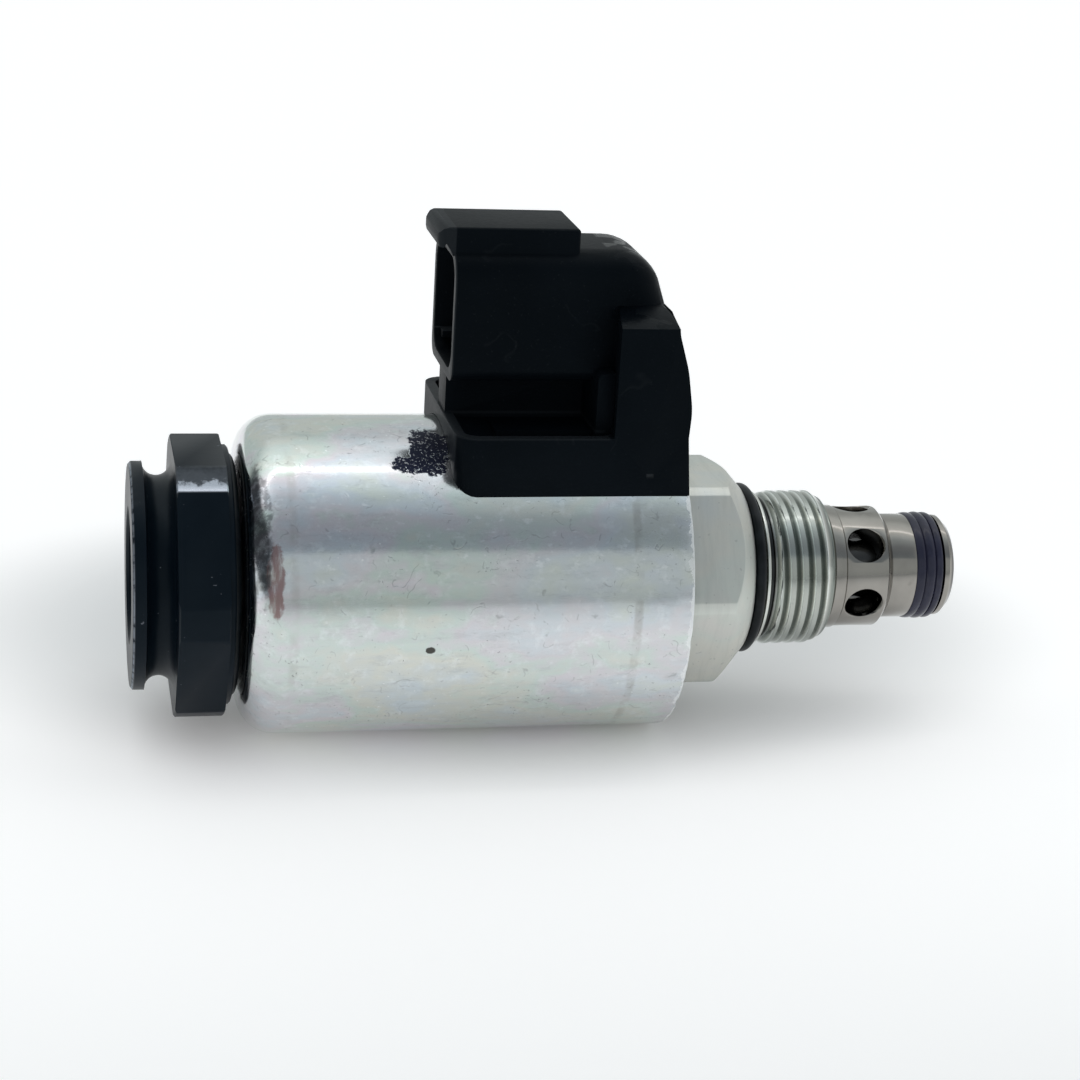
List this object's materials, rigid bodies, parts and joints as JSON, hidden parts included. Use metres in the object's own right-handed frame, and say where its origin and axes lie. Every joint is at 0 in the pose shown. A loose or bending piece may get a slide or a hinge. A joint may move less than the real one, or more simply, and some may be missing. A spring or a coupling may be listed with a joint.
{
  "type": "solenoid cartridge valve",
  "caption": "Screw-in hydraulic cartridge valve with a threaded hexagon body, ported cage, steel-cased coil with a plug-in socket and a grooved coil nut.",
  "frame": {"origin": "on the valve axis, in the plane of the sealing shoulder under the hexagon", "axes": "+X along the valve axis into the manifold, towards the nose; +Z towards the socket on the coil; Y across the coil"},
  "size_m": [0.1178, 0.0446, 0.0729],
  "materials": {
    "zinc_steel": "bright zinc plate with a faint rainbow passivation",
    "ground_steel": "ground and polished",
    "hard_steel": "hardened and honed",
    "soft_iron": "turned, nickel-flashed",
    "stainless": "turned",
    "spring_steel": "drawn wire and stamped rings",
    "black_nut": "satin black with a worn corner",
    "black_plastic": "moulded, semi-matte",
    "black_rubber": "moulded, slightly glossy",
    "purple_seal": "dark purple elastomer, glossy",
    "nylon": "natural nylon",
    "copper": "enamelled copper wire, wound",
    "brass": "turned brass",
    "tin_plate": "tin-plated contact"
  },
  "bodies": {
    "cartridge": {"valve_body": "zinc_steel", "cage": "ground_steel", "seat_oring": "black_rubber", "nose_oring": "purple_seal", "backup_ring_rear": "purple_seal", "backup_ring_front": "purple_seal", "return_spring": "spring_steel", "spring_seat": "hard_steel", "seat_snap_ring": "spring_steel", "armature_tube": "stainless", "pole_piece": "soft_iron", "tube_oring": "black_rubber", "end_plug": "stainless", "override_oring": "black_rubber", "override_snap_ring": "spring_steel"},
    "coil": {"coil_can": "zinc_steel", "bobbin": "nylon", "winding": "copper", "flux_washer": "soft_iron", "coil_oring": "black_rubber", "terminal_near": "tin_plate", "terminal_far": "tin_plate", "coil_moulding": "black_plastic"},
    "nut_ring": {"nut_oring": "black_rubber"},
    "nut": {"coil_nut": "black_nut"},
    "armature": {"armature": "soft_iron", "air_gap_shim": "brass", "push_pin": "hard_steel"},
    "spool": {"spool": "hard_steel"},
    "override": {"override_pin": "brass"}
  },
  "joints": [
    {"name": "coil_turn", "type": "hinge", "parent": "cartridge", "child": "coil", "pos_m": [-0.04, 0, 0], "axis": [1, 0, 0], "continuous": true},
    {"name": "nut_travel", "type": "slide", "parent": "cartridge", "child": "nut_ring", "axis": [1, 0, 0], "range_m": [-0.006, 0]},
    {"name": "nut_turn", "type": "hinge", "parent": "nut_ring", "child": "nut", "pos_m": [-0.078, 0, 0], "axis": [1, 0, 0], "range_deg": [-1439, 0]},
    {"name": "armature_slide", "type": "slide", "parent": "cartridge", "child": "armature", "axis": [1, 0, 0], "range_m": [0, 0.0022], "stiffness_N_per_m": 1200, "springref_m": -0.004},
    {"name": "spool_slide", "type": "slide", "parent": "cartridge", "child": "spool", "axis": [1, 0, 0], "range_m": [0, 0.0022], "deforming": ["return_spring"]},
    {"name": "override_slide", "type": "slide", "parent": "cartridge", "child": "override", "axis": [1, 0, 0], "range_m": [0, 0.0022]}
  ],
  "couplings": [
    {"joint": "nut_travel", "follows": "nut_turn", "m_per_rad": 0.00023873},
    {"joint": "spool_slide", "follows": "armature_slide", "ratio": 1},
    {"joint": "override_slide", "follows": "armature_slide", "ratio": 1}
  ]
}
